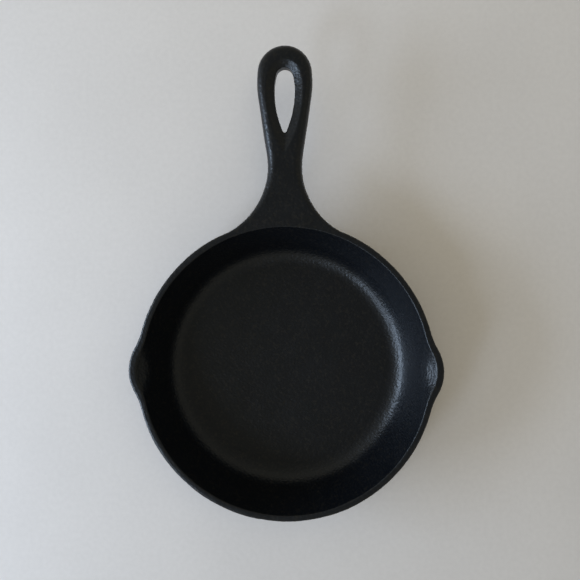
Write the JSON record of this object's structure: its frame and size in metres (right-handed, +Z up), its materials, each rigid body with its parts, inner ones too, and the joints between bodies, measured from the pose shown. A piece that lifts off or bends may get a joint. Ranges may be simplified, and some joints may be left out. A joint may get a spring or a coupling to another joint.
{
  "type": "cast iron skillet",
  "caption": "Shallow round cast iron skillet with opposed pour spouts and a cast-on handle with a teardrop hanging hole.",
  "frame": {"origin": "centre of the flat underside of the pan, on the surface it stands on", "axes": "+Z up out of the pan, +Y along the handle towards its tip, pour spouts at +X and -X"},
  "size_m": [0.1734, 0.2607, 0.0411],
  "materials": {
    "seasoned_iron": "factory-seasoned satin black over a fine pebbly sand-cast surface"
  },
  "bodies": {
    "root": {"skillet_casting": "seasoned_iron"}
  },
  "joints": []
}
